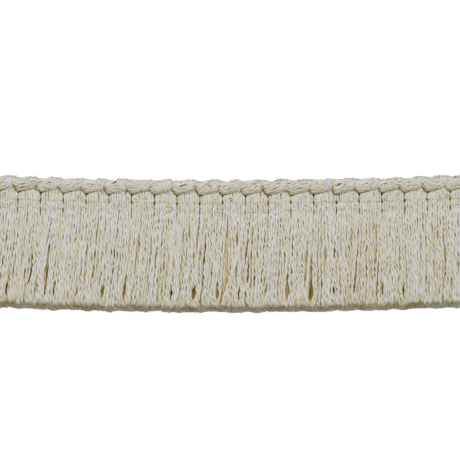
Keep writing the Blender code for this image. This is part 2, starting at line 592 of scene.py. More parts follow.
class NodeTree:
    """A short way to add and link the nodes of one tree."""

    def __init__(self, tree: bpy.types.NodeTree) -> None:
        """Starts with an empty tree."""
        self.tree = tree
        tree.nodes.clear()

    @classmethod
    def of_material(cls, name: str) -> tuple[bpy.types.Material, NodeTree]:
        """Makes a material.

        Args:
            name: Its name.

        Returns:
            The material and its tree.
        """
        material = bpy.data.materials.new(name)
        material.use_nodes = True
        return material, cls(material.node_tree)

    def add(self, kind: str, values: dict[str, object] | None = None, **settings: object) -> bpy.types.Node:
        """Adds a node.

        Args:
            kind: Its type.
            values: Constant values for its sockets, by name.
            settings: Its properties.

        Returns:
            The node.
        """
        node = self.tree.nodes.new(kind)
        for name, value in settings.items():
            setattr(node, name, value)
        for name, value in (values or {}).items():
            node.inputs[name].default_value = value
        return node

    def surface(self, values: dict[str, object]) -> bpy.types.Node:
        """Adds a material's shader and its output.

        Args:
            values: Constant values for the shader's sockets, by name.

        Returns:
            The shader.
        """
        shader = self.add("ShaderNodeBsdfPrincipled", values)
        self.link(shader.outputs[0], self.add("ShaderNodeOutputMaterial").inputs["Surface"])
        return shader

    def link(self, start: bpy.types.NodeSocket, end: bpy.types.NodeSocket) -> None:
        """Links one socket to another."""
        self.tree.links.new(start, end)

    def math(self, operation: str, *inputs: object, clamp: bool = False) -> bpy.types.NodeSocket:
        """Adds a Math node.

        Args:
            operation: What it does.
            inputs: Its inputs, which are sockets or numbers.
            clamp: Whether the outcome is held between 0 and 1.

        Returns:
            Its output.
        """
        node = self.add("ShaderNodeMath", operation=operation, use_clamp=clamp)
        for slot, value in zip(node.inputs, inputs):
            if isinstance(value, bpy.types.NodeSocket):
                self.link(value, slot)
            else:
                slot.default_value = value
        return node.outputs[0]


class FibreGroup:
    """The node group that every yarn's finish shares: streaks of fibre that wind along a ply.

    Attributes:
        name: The group's name.
        inputs: The name and the value of each of its inputs.
        streaks: The values of the noise that makes the streaks.
    """

    name: str = "wound_fibres"
    inputs: tuple[tuple[str, float], ...] = (("Along", 0.9), ("Around", 3.2), ("Contrast", 1.0))
    streaks: dict[str, float] = {"Scale": 1.0, "Detail": 3.0, "Roughness": 0.6}

    def __init__(self) -> None:
        """Builds the group, which puts out one mask that changes over the surface."""
        self.tree = bpy.data.node_groups.new(self.name, "ShaderNodeTree")
        nodes = NodeTree(self.tree)
        for label, default in self.inputs:
            socket = self.tree.interface.new_socket(label, in_out="INPUT", socket_type="NodeSocketFloat")
            socket.default_value = default
        self.tree.interface.new_socket("Streak", in_out="OUTPUT", socket_type="NodeSocketFloat")
        inner = nodes.add("NodeGroupInput").outputs
        place = nodes.add("ShaderNodeAttribute", attribute_name="fibre")
        stretch = nodes.add("ShaderNodeCombineXYZ")
        for socket, label in zip(stretch.inputs, ("Around", "Around", "Along")):
            nodes.link(inner[label], socket)
        scaled = nodes.add("ShaderNodeVectorMath", operation="MULTIPLY")
        nodes.link(place.outputs["Vector"], scaled.inputs[0])
        nodes.link(stretch.outputs[0], scaled.inputs[1])
        streak = nodes.add("ShaderNodeTexNoise", self.streaks)
        nodes.link(scaled.outputs[0], streak.inputs["Vector"])
        centred = nodes.math("SUBTRACT", streak.outputs["Fac"], 0.5)
        strong = nodes.math("MULTIPLY", centred, inner["Contrast"])
        outer = nodes.add("NodeGroupOutput")
        nodes.link(nodes.math("ADD", strong, 0.5, clamp=True), outer.inputs["Streak"])


@dataclass(frozen=True)
class YarnFinish:
    """The finish of a soft cotton yarn, with shade painted into its colour: darker and browner with its depth
    in the pile.

    Attributes:
        name: The material's name.
        lit: The colour of the yarns that show, where no shade is painted.
        groove: The colour of the shade painted at their sides.
        shaded: The colour of the painted shade a little way down between them.
        deep: The colour of the painted shade at the bottom of the pile.
        stops: How deep the side shade's and the shaded colour lie.
        toning: How much deeper the darkest yarn seems than the lightest.
        streaking: How much deeper the darkest fibre seems than the lightest.
        roughness: The roughness of the fibres.
        specular: The level of their shine.
        sheen: The weight of the soft sheen.
        relief: The height of the fibres.
    """

    name: str
    lit: tuple[float, float, float] = (0.632, 0.64, 0.648)
    groove: tuple[float, float, float] = (0.62, 0.577, 0.415)
    shaded: tuple[float, float, float] = (0.50, 0.385, 0.14)
    deep: tuple[float, float, float] = (0.42, 0.265, 0.03)
    stops: tuple[float, float] = (0.22, 0.47)
    toning: float = 0.09
    streaking: float = 0.6
    roughness: float = 0.85
    specular: float = 0.05
    sheen: float = 0.03
    relief: float = 0.06 * MM

    def material(self, fibres: FibreGroup) -> bpy.types.Material:
        """Builds the material.

        Args:
            fibres: The shared fibre group.

        Returns:
            The material.
        """
        material, nodes = NodeTree.of_material(self.name)
        shine = {"Roughness": self.roughness, "Specular IOR Level": self.specular}
        shader = nodes.surface({**shine, "Sheen Weight": self.sheen, "Sheen Roughness": 0.5})
        streak = nodes.add("ShaderNodeGroup", node_tree=fibres.tree).outputs["Streak"]

        # Painted shade: the ramp paints each vertex from the lit colour down to the deep one by the shade
        # painted on it, with a little random tone and fibre streak.
        painted_shade = nodes.add("ShaderNodeAttribute", attribute_name="painted_shade")
        tone = nodes.add("ShaderNodeAttribute", attribute_name="tone")
        ramp = nodes.add("ShaderNodeValToRGB")
        elements = ramp.color_ramp.elements
        elements[0].color = (*self.lit, 1.0)
        elements[1].color = (*self.deep, 1.0)
        for place, colour in zip(self.stops, (self.groove, self.shaded)):
            elements.new(place).color = (*colour, 1.0)
        toned = nodes.math("MULTIPLY_ADD", tone.outputs["Fac"], self.toning, -self.toning / 2)
        streaked = nodes.math("MULTIPLY_ADD", streak, -self.streaking, self.streaking / 2)
        depth = nodes.math("ADD", nodes.math("ADD", painted_shade.outputs["Fac"], toned), streaked, clamp=True)
        nodes.link(depth, ramp.inputs["Fac"])
        nodes.link(ramp.outputs["Color"], shader.inputs["Base Color"])

        relief = nodes.add("ShaderNodeBump", {"Strength": 1.0, "Distance": self.relief})
        nodes.link(streak, relief.inputs["Height"])
        nodes.link(relief.outputs["Normal"], shader.inputs["Normal"])
        return material


class Canopy:
    """The upper face of the pile, which tells how deep each vertex lies below it, for the shade painted by
    depth.

    Attributes:
        cell: The width of a cell.
        reach: How far below the face a vertex is when it gets much painted shade.
        skin: How far below the face no shade is painted.
        onset: The power that makes the painted shade set in late.
    """

    cell: float = 0.45 * MM
    reach: float = 1.10 * MM
    skin: float = 0.06 * MM
    onset: float = 2.6

    def __init__(self, points: Array) -> None:
        """Takes the highest vertex of each small cell, and eases the cells into one face.

        Args:
            points: The vertices of all the yarns in the pile.
        """
        self.low = points[:, :2].min(axis=0) - 2 * self.cell
        shape = np.ceil((points[:, :2].max(axis=0) - self.low) / self.cell).astype(int) + 3
        self.height = np.zeros(shape)
        place = ((points[:, :2] - self.low) / self.cell).astype(int)
        np.maximum.at(self.height, (place[:, 0], place[:, 1]), points[:, 2])
        for _ in range(2):
            self.height = self.spread(self.height).max(axis=0)
        for _ in range(2):
            self.height = self.spread(self.height).mean(axis=0)

    @staticmethod
    def spread(height: Array) -> Array:
        """Lays a grid over its neighbours.

        Args:
            height: The grid.

        Returns:
            Nine copies of it, each moved by a cell or none along X and Y.
        """
        padded = np.pad(height, 1, mode="edge")
        wide, deep = height.shape
        return np.stack([padded[i : i + wide, j : j + deep] for i in range(3) for j in range(3)])

    def depth(self, points: Array) -> Array:
        """Works out how deep each vertex is.

        Args:
            points: The vertices.

        Returns:
            Depths from 0 at the face to nearly 1 at 1.5 times the reach.
        """
        place = np.clip((points[:, :2] - self.low) / self.cell - 0.5, 0, np.array(self.height.shape) - 1.001)
        whole = place.astype(int)
        right, up = (place - whole).T
        i, j = whole.T
        near = self.height[i, j] * (1 - right) + self.height[i + 1, j] * right
        far = self.height[i, j + 1] * (1 - right) + self.height[i + 1, j + 1] * right
        face = near * (1 - up) + far * up
        return 1 - np.exp(-(np.clip((face - self.skin - points[:, 2]) / self.reach, 0, None) ** self.onset))


@dataclass
class Warp:
    """The yarns of one layer, side by side in their blocks.

    Attributes:
        plan: The lines that they are laid out on.
        form: The yarn that they are laid with.
        inner: Whether they lie below the face, where no slot parts them.
        block: The number of each yarn's block.
        within: Each yarn's place in its block, from 0 to 1.
        even_x: Where each yarn is when all are spread evenly.
    """

    plan: Plan
    form: YarnForm
    inner: bool
    block: Array
    within: Array
    even_x: Array

    @classmethod
    def drawn(cls, plan: Plan, form: YarnForm, per_block: int, inner: bool, chance: Chance) -> Warp:
        """Draws the yarns' places.

        Args:
            plan: The lines that they are laid out on.
            form: The yarn that they are laid with.
            per_block: The number of yarns in a block.
            inner: Whether they lie below the face.
            chance: The source of their unevenness.

        Returns:
            The yarns.
        """
        number = np.arange(plan.blocks * per_block)[:, None]
        place = number + chance.uniform(-PLACE_STRAY, PLACE_STRAY, number.shape)
        block = number // per_block
        within = held((place - block * per_block) / (per_block - 1))
        return cls(plan, form, inner, block, within, plan.edge_of((place + 0.5) / per_block))

    def across(self, y: Array, shift: Array | float = 0.0) -> Array:
        """Works out where the yarns lie along the length.

        Args:
            y: Their heights on the plan at each ring.
            shift: How far each strays.

        Returns:
            The x of each ring, which gives way to the slots at the face.
        """
        plan = self.plan
        margin = 0.9 * self.form.ply_radius + 0.6 * self.form.spread + plan.slot_at(y, self.block) / 2
        if self.inner:
            return np.clip(self.even_x + shift, plan.left + margin, plan.right - margin)
        return plan.edge_of(self.block) + margin + (plan.pitch - 2 * margin) * self.within + shift


@dataclass(frozen=True)
class PileLayer:
    """One layer of the skirt's yarns.

    Attributes:
        name: Its name.
        share: Its height in the pile, from 0 on the floor to 1 at the face.
        form: The yarn that it is laid with.
        per_block: The number of its yarns in a block.
        pinch: How far its locks are drawn together.
        tangle: How far its bundles stray sideways on the way down.
        gathered: How far the yarns of a bundle are drawn together.
        behind: How much shorter it is than the layer on the floor.
        ragged: How much its yarns' lengths differ.
        tip_shade: How much shade is painted on its cut ends at most, from 0 to 1.
    """

    name: str
    share: float
    form: YarnForm
    per_block: int
    pinch: float
    tangle: float
    gathered: float
    behind: float
    ragged: float
    tip_shade: float


@dataclass
class Bundles:
    """The bundles that neighbouring yarns hang in, side by side along the root line.

    Attributes:
        edges: Where each bundle starts, and where the last one ends.
        stray: How far each one strays at its tip, as a share of its layer's tangle.
        sway: How far each one sways half way down.
        lift: How far each one stands out of the pile.
        tint: How much deeper each one seems.
    """

    edges: Array
    stray: Array
    sway: Array
    lift: Array
    tint: Array

    @classmethod
    def drawn(cls, plan: Plan, chance: Chance) -> Bundles:
        """Draws the bundles, about four to a block.

        Args:
            plan: The lines that they are laid out on.
            chance: The source of their unevenness.

        Returns:
            The bundles.
        """
        count = 4 * plan.blocks
        widths = chance.uniform(0.5, 1.5, count)
        edges = plan.edge_of(plan.blocks * np.concatenate([[0], np.cumsum(widths)]) / widths.sum())
        sway, lift = chance.normal(0, 0.09 * MM, count), chance.normal(0, 0.11 * MM, count)
        return cls(edges, chance.normal(0, 1, count), sway, lift, chance.uniform(-0.035, 0.035, count))

    def holding(self, x: Array) -> Array:
        """Returns the number of the bundle that holds each yarn, by its x at the root line."""
        return np.clip(np.searchsorted(self.edges, x) - 1, 0, len(self.sway) - 1)

    def middles(self, x: Array, bundle: Array) -> Array:
        """Works out the middle of each yarn's bundle.

        Args:
            x: The yarns' x at each ring.
            bundle: The number of each yarn's bundle.

        Returns:
            The middle's x at each ring.
        """
        total = np.zeros((len(self.sway), x.shape[1]))
        np.add.at(total, bundle, x)
        return (total / np.maximum(np.bincount(bundle, minlength=len(self.sway)), 1)[:, None])[bundle]


@dataclass
class Skirt:
    """The skirt: the lower heading row, and the yarns that run on from it to their cut ends.

    Attributes:
        plan: The lines that it is laid out on.
        tuck: How far the yarns run on under the upper heading row.
        side_waves, rise_waves: The length and height of the yarns' waves, sideways and up.
        creases: How far the pile sinks at the root line and at the crease.
        crease_width: The width of either.
        under_row: How far it sinks where the upper heading row covers it.
        crown: How far a block's sides sink at the root line.
        flare: How much thicker a yarn is at its cut end, where it opens.
        opens_at: The share of its length at which it starts to open.
        droop: How far the pile sinks at its cut ends.
        squeeze: How much of its pinch a lock has, by the share of its free length.
        layers: The layers, from the floor up.
    """

    plan: Plan
    tuck: float = 0.6 * MM
    side_waves: tuple[tuple[float, float], ...] = ((12.0 * MM, 0.10 * MM), (6.5 * MM, 0.06 * MM))
    rise_waves: tuple[tuple[float, float], ...] = ((14.0 * MM, 0.08 * MM), (7.0 * MM, 0.048 * MM))
    creases: tuple[float, float] = (0.12 * MM, 0.06 * MM)
    crease_width: float = 0.45 * MM
    under_row: float = 0.6 * MM
    crown: float = 0.15 * MM
    flare: float = 0.55
    opens_at: float = 0.88
    droop: float = 1.2 * MM
    squeeze: tuple[tuple[float, ...], ...] = ((0.50, 0.73, 0.85, 0.89, 0.955), (0.0, 0.25, 1.0, 0.95, 0.0))
    layers: tuple[PileLayer, ...] = (
        PileLayer("floor", 0.10, FILL_YARN, 9, 0.04, 0.5 * MM, 0.0, 0.0, 0.10 * MM, 0.16),
        PileLayer("lower", 0.34, FILL_YARN, 9, 0.05, 0.6 * MM, 0.0, 0.24 * MM, 0.18 * MM, 0.18),
        PileLayer("middle", 0.58, FILL_YARN, 10, 0.06, 0.8 * MM, 0.0, 0.42 * MM, 0.20 * MM, 0.17),
        PileLayer("under", 0.78, INNER_YARN, 9, 0.15, 0.8 * MM, 0.0, 0.60 * MM, 0.20 * MM, 0.20),
        PileLayer("upper", 0.90, NEAR_YARN, 9, 0.18, 0.9 * MM, 0.03, 0.74 * MM, 0.22 * MM, 0.22),
        PileLayer("face", 1.00, FACE_YARN, 9, 0.21, 1.25 * MM, 0.05, 0.86 * MM, 0.24 * MM, 0.12),
    )

    def tips(self, layer: PileLayer, root_x: Array, bundle_stray: Array, chance: Chance) -> Array:
        """Works out where each yarn's tip lies: evenly spread, with whole bundles trading places.

        Args:
            layer: The yarns' layer.
            root_x: The x of each yarn's root.
            bundle_stray: How far each yarn's bundle strays, as a share of the layer's tangle.
            chance: The source of their unevenness.

        Returns:
            The x of each yarn's tip.
        """
        plan = self.plan
        count = len(root_x)
        stray = layer.tangle * bundle_stray + chance.normal(0, 0.30 * MM, count)
        order = np.argsort(np.argsort(root_x + stray))
        tip_x = plan.edge_of((order + 0.5 + chance.uniform(-0.3, 0.3, count)) / layer.per_block)
        tip_x = tip_x + drift(chance, tip_x, 0.55 * MM, (21, 11.3, 6.1))
        tip_x = tip_x + plan.lean_at(tip_x)
        margin = 0.3 * MM
        return np.clip(tip_x, plan.left + plan.lean_left + margin, plan.right + plan.lean_right - margin)

    def drawn_to_lock(self, x: Array, tip_x: Array, t: Array, pinch: float) -> Array:
        """Draws yarns towards the middle line of the lock that their tips are in.

        Args:
            x: The yarns' x at each ring.
            tip_x: The x of their tips.
            t: The share of their free length at each ring.
            pinch: How far they are drawn together.

        Returns:
            The new x at each ring.
        """
        plan = self.plan
        edges = plan.edge_of(np.arange(plan.blocks + 1))
        tip_edges = edges + plan.lean_at(edges)
        lock = np.clip(np.searchsorted(tip_edges, tip_x) - 1, 0, plan.blocks - 1)
        lock_tip = (tip_edges[lock] + tip_edges[lock + 1]) / 2
        lock_root = plan.edge_of(lock + 0.5)
        line = lock_root + (lock_tip - lock_root) * self.way(t)
        strength = seeded(Seed.LOCKS).uniform(0.2, 1.3, plan.blocks)
        strength[[0, -1]] = 0.0
        return line + (x - line) * (1 - pinch * strength[lock] * np.interp(t, *self.squeeze))

    def paths(self, layer: PileLayer, bundles: Bundles, chance: Chance) -> Array:
        """Works out the middle line of each yarn of one layer.

        Args:
            layer: The layer.
            bundles: The bundles that its yarns hang in.
            chance: The source of their unevenness.

        Returns:
            The points of each yarn.
        """
        plan = self.plan
        warp = Warp.drawn(plan, layer.form, layer.per_block, layer.form is FILL_YARN, chance)
        even_x = warp.even_x
        bundle = bundles.holding(even_x[:, 0])
        tip_x = self.tips(layer, even_x[:, 0], bundles.stray[bundle], chance)[:, None]
        worn = drift(seeded(Seed.WORN_TIPS), tip_x, 0.16 * MM, (19, 8.3, 5.2))
        worn = worn + drift(chance, tip_x, (0.08 + 0.12 * layer.share) * MM, (12.7, 6.1, 3.3))
        length = plan.free - layer.behind + worn + chance.uniform(-1, 1, tip_x.shape) * layer.ragged

        start = plan.strip + self.tuck
        y = start - layer.form.shares * (start + length)
        below = np.clip(-y, 0, None)
        t = below / length
        loose = held(t * 5)
        x = warp.across(y)
        x = x + (even_x - x) * eased(t / 0.16) + (tip_x - even_x) * self.way(t)
        x += bundles.sway[bundle][:, None] * np.sin(math.pi * t)
        x += yarn_waves(chance, below, self.side_waves, True) * loose
        gathered = layer.gathered * np.interp(t, (0.02, 0.2, 0.85, 1.0), (0.0, 1.0, 1.0, 0.2))
        x += gathered * (bundles.middles(x, bundle) - x)
        x = self.drawn_to_lock(x, tip_x, t, layer.pinch)

        across = np.clip(2 * (x - plan.edge_of(warp.block + 0.5)) / plan.pitch, -1, 1)
        dip = self.crown * across**4 * held(1 - t * 4) + self.droop * held((t - 0.86) / 0.14) ** 2
        dip += self.under_row * eased((y - plan.crease + 0.15 * MM) / (0.5 * MM))
        for height, depth in zip((0.0, plan.crease), self.creases):
            dip += depth * bump(y, height, self.crease_width)
        radius = layer.form.radius
        z = radius + layer.share * (plan.pile_at(below) - 2 * radius - dip)
        z += yarn_waves(chance, below, self.rise_waves, False) * loose
        z += (bundles.lift[bundle][:, None] + chance.normal(0, 0.04 * MM, tip_x.shape)) * loose
        return plan.at(x, y, np.maximum(z, 0.95 * radius))

    @staticmethod
    def way(t: Array) -> Array:
        """Returns how much of a yarn's sideways way is done at each share t of its free length."""
        return t * (0.7 + 0.3 * t)

    def cloths(self) -> dict[str, YarnCloth]:
        """Lays every layer of yarn.

        Returns:
            The layers' meshes by name, from the floor up.
        """
        result = {}
        shared = Bundles.drawn(self.plan, seeded(Seed.BUNDLES))
        for index, layer in enumerate(self.layers):
            chance = seeded(Seed.SKIRT + index)
            bundles = shared if layer.gathered > 0 else Bundles.drawn(self.plan, chance)
            paths = self.paths(layer, bundles, chance)
            look = YarnLook.drawn(chance, len(paths), layer.form)
            below = -self.plan.heights(paths)
            loosened = eased((below + 2.2 * MM) / (5.0 * MM))
            opened = eased((layer.form.shares - self.opens_at) / (1 - self.opens_at))
            tint = shared.tint[shared.holding(paths[:, 0, 0])][:, None]
            look.thickness *= 1 + self.flare * opened
            # Painted shade: the yarns' sides are painted weakly in the heading and more strongly as they hang
            # loose, and less at the cut ends where they open. Added shade is painted near the heading and
            # where the cut ends open. Each bundle's tint is a random tone.
            look.groove *= (0.2 + 0.85 * loosened + 0.3 * below / self.plan.free) * (1 - 0.4 * opened)
            look.opening *= (0.8 + 0.2 * loosened) * (1 - 0.3 * opened)
            look.sunk += tint + 0.07 * (1 - loosened) + 0.12 * opened
            result[f"skirt_yarns_{layer.name}"] = layer.form.lay(paths, look)
        return result


@dataclass
class HeadingRow:
    """The upper heading row: blocks of yarn that run up from the crease and under the rolled edge.

    Attributes:
        plan: The lines that it is laid out on.
        lobe: The outline of a lobe, which the row dips under.
        per_block: The number of yarns of one layer in a block.
        tuck: How far the row runs on under the rolled edge.
        sink: How far it sinks there.
        foot: How far it sinks at the crease.
        gather: How far the yarns near a notch are drawn to it.
        gather_width: How near to a notch they are drawn.
        crown: How far a block's sides sink.
        pocket, pocket_width: The depth and width of the pocket at each notch.
        shares: The height of each layer in the row, from 0 on the floor to 1 at the face.
    """

    plan: Plan
    lobe: Lobe
    per_block: int = 9
    tuck: float = 2.2 * MM
    sink: float = 0.7 * MM
    foot: float = 0.55 * MM
    gather: float = 0.35
    gather_width: float = 1.3 * MM
    crown: float = 0.12 * MM
    pocket: float = 1.0 * MM
    pocket_width: float = 0.5 * MM
    shares: tuple[float, ...] = (0.12, 0.55, 1.0)

    def paths(self, height_share: float, form: YarnForm, chance: Chance) -> Array:
        """Works out the middle line of each yarn of one layer.

        Args:
            height_share: The layer's height in the row.
            form: The yarn that it is laid with.
            chance: The source of its unevenness.

        Returns:
            The points of each yarn.
        """
        plan = self.plan
        warp = Warp.drawn(plan, form, self.per_block, height_share < 1, chance)
        column = warp.block.shape
        left = plan.edge_of(warp.block)
        share = form.shares
        start = plan.crease - 0.3 * MM + chance.normal(0, 0.12 * MM, column)
        shift = chance.normal(0, 0.14 * MM, column) * share**1.5
        edge = self.lobe.at((warp.even_x + shift - left) / plan.pitch)[0]
        y = start + share * (edge + self.tuck - start)
        x = warp.across(y, shift)
        notches = (left, left + plan.pitch)
        for notch in notches:
            x = x - (x - notch) * self.gather * bump(x, notch, self.gather_width) * eased(share * 1.4 - 0.4)
        beside = sum(bump(x, notch, self.pocket_width) for notch in notches)
        at_notch = bump(y, plan.notch, self.pocket_width) * beside
        across = np.clip(2 * (x - left) / plan.pitch - 1, -1, 1)
        dip = self.crown * across**4 + self.foot * (1 - eased((y - start) / (0.55 * MM)))
        dip += self.sink * eased((y - edge + 0.15 * MM) / (0.5 * MM)) + self.pocket * at_notch
        z = form.radius + height_share * (plan.root_height - 2 * form.radius - dip)
        z += chance.normal(0, 0.035 * MM, column)
        return plan.at(x, y, np.maximum(z, 0.95 * form.radius))

    def cloths(self) -> dict[str, YarnCloth]:
        """Lays the row's yarns.

        Returns:
            Their mesh by its name.
        """
        plan = self.plan
        layers = []
        for index, share in enumerate(self.shares):
            chance = seeded(Seed.ROW + index)
            form = ROW_YARN if share == 1.0 else ROW_FILL
            paths = self.paths(share, form, chance)
            look = YarnLook.drawn(chance, len(paths), form)
            look.groove *= 0.36
            look.opening *= 0.9
            # Painted shade: the row is painted darker where it runs under the rolled edge, most near each
            # lobe's notch, standing in for the shade under the lobes.
            along = (paths[..., 0] - plan.left) / plan.pitch % 1.0
            under = eased((plan.heights(paths) - self.lobe.at(along)[0] + 0.20 * MM) / (0.35 * MM))
            look.sunk = 0.07 + 0.55 * under * held(1.2 - 0.8 * along)
            layers.append(form.lay(paths, look))
        return {"heading_row_yarns": YarnCloth.joined(layers)}


@dataclass
class RolledEdge:
    """The rolled edge: a bundle of yarns from each notch that sweeps right and over the top.

    Attributes:
        plan: The lines that it is laid out on.
        lobe: The outline of a lobe.
        arm_blocks: How far its upper yarns start to the left of its notch, in blocks.
        start_angles: Where on the roll its lowest and its highest yarn start, in degrees from the front.
        end_angles: Where they end.
        squareness: The power that flattens the roll's top.
        stray: How far its yarns wander round the roll, in degrees.
        ruffle: How far they stand in and out of it.
        leaves_at: The share of a yarn's length at which it dives back into the roll.
        bands: The share of the lobes that a band of upright yarns ties down.
        per_band: The number of yarns in a band.
        band_pitch: How far apart they are.
        band_angles: Where on the roll a band starts, and how far round it goes, in degrees.
        fill_middle: Where the middle of its filling runs: its height on the plan, and off the floor.
        fill_rings: How far each ring of filling yarns is from there, both ways, and their number.
    """

    plan: Plan
    lobe: Lobe
    arm_blocks: float = 0.30
    start_angles: tuple[float, float] = (2.0, 108.0)
    end_angles: tuple[float, float] = (14.0, 178.0)
    squareness: float = 0.55
    stray: float = 6.0
    ruffle: float = 0.05 * MM
    leaves_at: float = 0.75
    bands: float = 0.75
    per_band: int = 4
    band_pitch: float = 0.42 * MM
    band_angles: tuple[float, float] = (10.0, 155.0)
    fill_middle: tuple[float, float] = (8.0 * MM, 1.55 * MM)
    fill_rings: tuple[tuple[float, float, int], ...] = ((1.75 * MM, 1.05 * MM, 11), (0.75 * MM, 0.45 * MM, 5))

    def lay(self, girth: float, per_lobe: int, form: YarnForm, chance: Chance) -> YarnCloth:
        """Lays a layer of bundles.

        Args:
            girth: The share of the roll's girth at which the layer lies.
            per_lobe: The number of yarns in a bundle.
            form: The yarn that they are laid with.
            chance: The source of their unevenness.

        Returns:
            The yarns of the layer.
        """
        plan = self.plan
        lobes = plan.blocks + 1
        lobe = np.repeat(np.arange(lobes), per_lobe)[:, None]
        column = lobe.shape
        notch = plan.edge_of(lobe - 1)
        place = (np.tile(np.arange(per_lobe), lobes)[:, None] + 0.5) / per_lobe
        place = held(place + chance.uniform(-0.45, 0.45, column) / per_lobe)
        swell = chance.uniform(0.93, 1.07, lobes)[lobe]
        # How strongly shade is painted at each lobe's notch and foot, lobe by lobe.
        shade_strength = seeded(Seed.LOBES).uniform(0.3, 1.0, lobes)[lobe]
        start = notch - self.arm_blocks * plan.pitch * place**0.8
        start = start + chance.normal(0, 1, column) * (0.06 + 0.25 * place) * MM
        length = plan.pitch * np.interp(place, (0.0, 0.3, 1.0), (1.0, 1.2, 1.32))
        length = length * chance.uniform(0.95, 1.05, column)
        first, last = (held((end - start) / length) for end in (plan.left, plan.right))
        share = first + (last - first) * form.shares
        keep = (last - first > 0.08)[:, 0]

        x = start + length * share
        along = (x - notch) / plan.pitch
        low, high, top = self.lobe.at(along)
        top = top * (0.5 + 0.5 * swell)
        begin, finish = (np.interp(place, (0, 1), angles) for angles in (self.start_angles, self.end_angles))
        angle = begin + (finish - begin) * share**1.2 + chance.normal(0, 2.0, column)
        beat = chance.uniform(1.0, 2.6, column)
        phase = chance.uniform(0, FULL_TURN, column)
        angle += chance.normal(0, self.stray, column) * np.sin(FULL_TURN * share * beat + phase)
        angle = np.radians(angle)
        ruffle = self.ruffle * chance.normal(0, 1, column) * np.sin(FULL_TURN * share * beat * 1.7 + phase)
        arrive = 0.08 + 0.10 * place * chance.uniform(0, 1, column)
        entering = held(1 - share / arrive)
        leaving = held((share - self.leaves_at) / (1 - self.leaves_at))
        rise = 1 - 0.4 * entering**1.5 - 0.26 * leaving**1.3

        front, back = np.cos(angle), held(-np.cos(angle))
        half = (high - low) / 2 * swell - form.skin + ruffle
        y = (low + high) / 2 - front * half * (1 - (1 - girth) * 0.8 - 0.5 * back * (1 - rise))
        middle = np.where(front > 0, self.lobe.front, self.lobe.back)
        above = np.abs(np.sin(angle)) ** self.squareness
        z = middle + (top - form.skin - middle + ruffle) * above * rise * girth
        points = plan.at(x, y, np.maximum(z, form.skin * 0.9))

        look = YarnLook.drawn(chance, int(keep.sum()), form)
        look.groove *= 1.15
        # Painted shade: dark where the yarns dive in at the notch and along the lobe's foot on the heading,
        # and darker in the core. Painted light: the back of the roll, which faces the light, is painted
        # lighter.
        tucked_shade = 1.2 * shade_strength * entering + 0.3 * leaving - 0.1
        foot = 0.5 * shade_strength * held((front - 0.9) / 0.1) * held(1.2 - 1.2 * along)
        look.sunk = (np.clip(np.maximum(tucked_shade, foot), 0, 0.95) + 0.3 * (1 - girth) - 0.3 * back)[keep]
        return form.lay(points[keep], look, facing_out(angle)[keep])

    def filling(self, form: YarnForm, chance: Chance) -> YarnCloth:
        """Lays the yarns that run along the whole length inside the roll.

        Args:
            form: The yarn that they are laid with.
            chance: The source of their unevenness.

        Returns:
            The yarns.
        """
        plan = self.plan
        inset = 0.05 * MM
        x = np.linspace(plan.left + inset, plan.right - inset, form.rings)
        paths = []
        for deep, tall, number in self.fill_rings:
            for turn in FULL_TURN * np.arange(number) / number:
                y = self.fill_middle[0] + deep * math.cos(turn) + drift(chance, x, 0.10 * MM, (17, 7.3))
                z = self.fill_middle[1] + tall * math.sin(turn) + drift(chance, x, 0.06 * MM, (13, 8.1))
                paths.append(plan.at(x, y, np.maximum(z, form.radius)))
        look = YarnLook.drawn(chance, len(paths), form)
        look.groove *= 0.15
        return form.lay(np.array(paths), look)

    def tied_down(self, form: YarnForm, chance: Chance) -> YarnCloth:
        """Lays the bands of upright yarns that run from the heading over some of the lobes.

        Args:
            form: The yarn that they are laid with.
            chance: The source of their unevenness.

        Returns:
            The yarns.
        """
        plan = self.plan
        block = np.flatnonzero(chance.uniform(0, 1, plan.blocks) < self.bands)
        across = np.tile(np.arange(self.per_band), len(block))[:, None] - (self.per_band - 1) / 2
        column = across.shape
        middle = np.repeat(block + chance.uniform(0.56, 0.74, len(block)), self.per_band)[:, None]
        slant = np.repeat(chance.normal(0, 0.3 * MM, len(block)), self.per_band)[:, None]
        share = form.shares
        x = plan.edge_of(middle) + across * self.band_pitch + chance.normal(0, 0.06 * MM, column)
        low, high, top = self.lobe.at((x - plan.edge_of(np.floor(middle))) / plan.pitch)
        foot_share = 0.2
        turn = held((share - foot_share) / (1 - foot_share))
        begin, sweep = self.band_angles
        angle = np.radians(begin + sweep * turn + chance.normal(0, 6, column) * turn)
        y = (low + high) / 2 - np.cos(angle) * ((high - low) / 2 - form.skin + 0.08 * MM)
        y = y - held(1 - share / foot_share) * chance.uniform(0.7, 1.3, column) * MM
        x = x + slant * share + 0.08 * MM * np.sin(FULL_TURN * share + chance.uniform(0, 6, column))
        above = np.abs(np.sin(angle)) ** self.squareness
        foot = np.where(np.cos(angle) > 0, plan.root_height - form.skin - 0.15 * MM, self.lobe.back)
        z = foot + (top - form.skin + 0.12 * MM - foot) * above * np.clip(share / foot_share, 0.15, 1)
        look = YarnLook.drawn(chance, len(x), form)
        look.groove *= 0.8
        # Painted shade at the bands' foot in the heading, and painted light over the back of the roll.
        look.sunk = np.clip(0.5 - share / 0.15, 0, 0.5) - 0.3 * held(-np.cos(angle))
        return form.lay(plan.at(x, y, z), look, facing_out(angle))

    def cloths(self) -> dict[str, YarnCloth]:
        """Lays the filling, a core of thick bundles, a skin of finer ones, and the bands that tie them down.

        Returns:
            Their meshes by name.
        """
        return {
            "rolled_edge_filling": self.filling(ROLL_FILL, seeded(Seed.ROLL_FILLING)),
            "rolled_edge_core": self.lay(0.70, 7, ROLL_CORE, seeded(Seed.ROLL_CORE)),
            SKIN: self.lay(1.0, 14, ROLL_YARN, seeded(Seed.ROLL_SKIN)),
            "rolled_edge_bands": self.tied_down(ROLL_YARN, seeded(Seed.ROLL_BANDS)),
        }


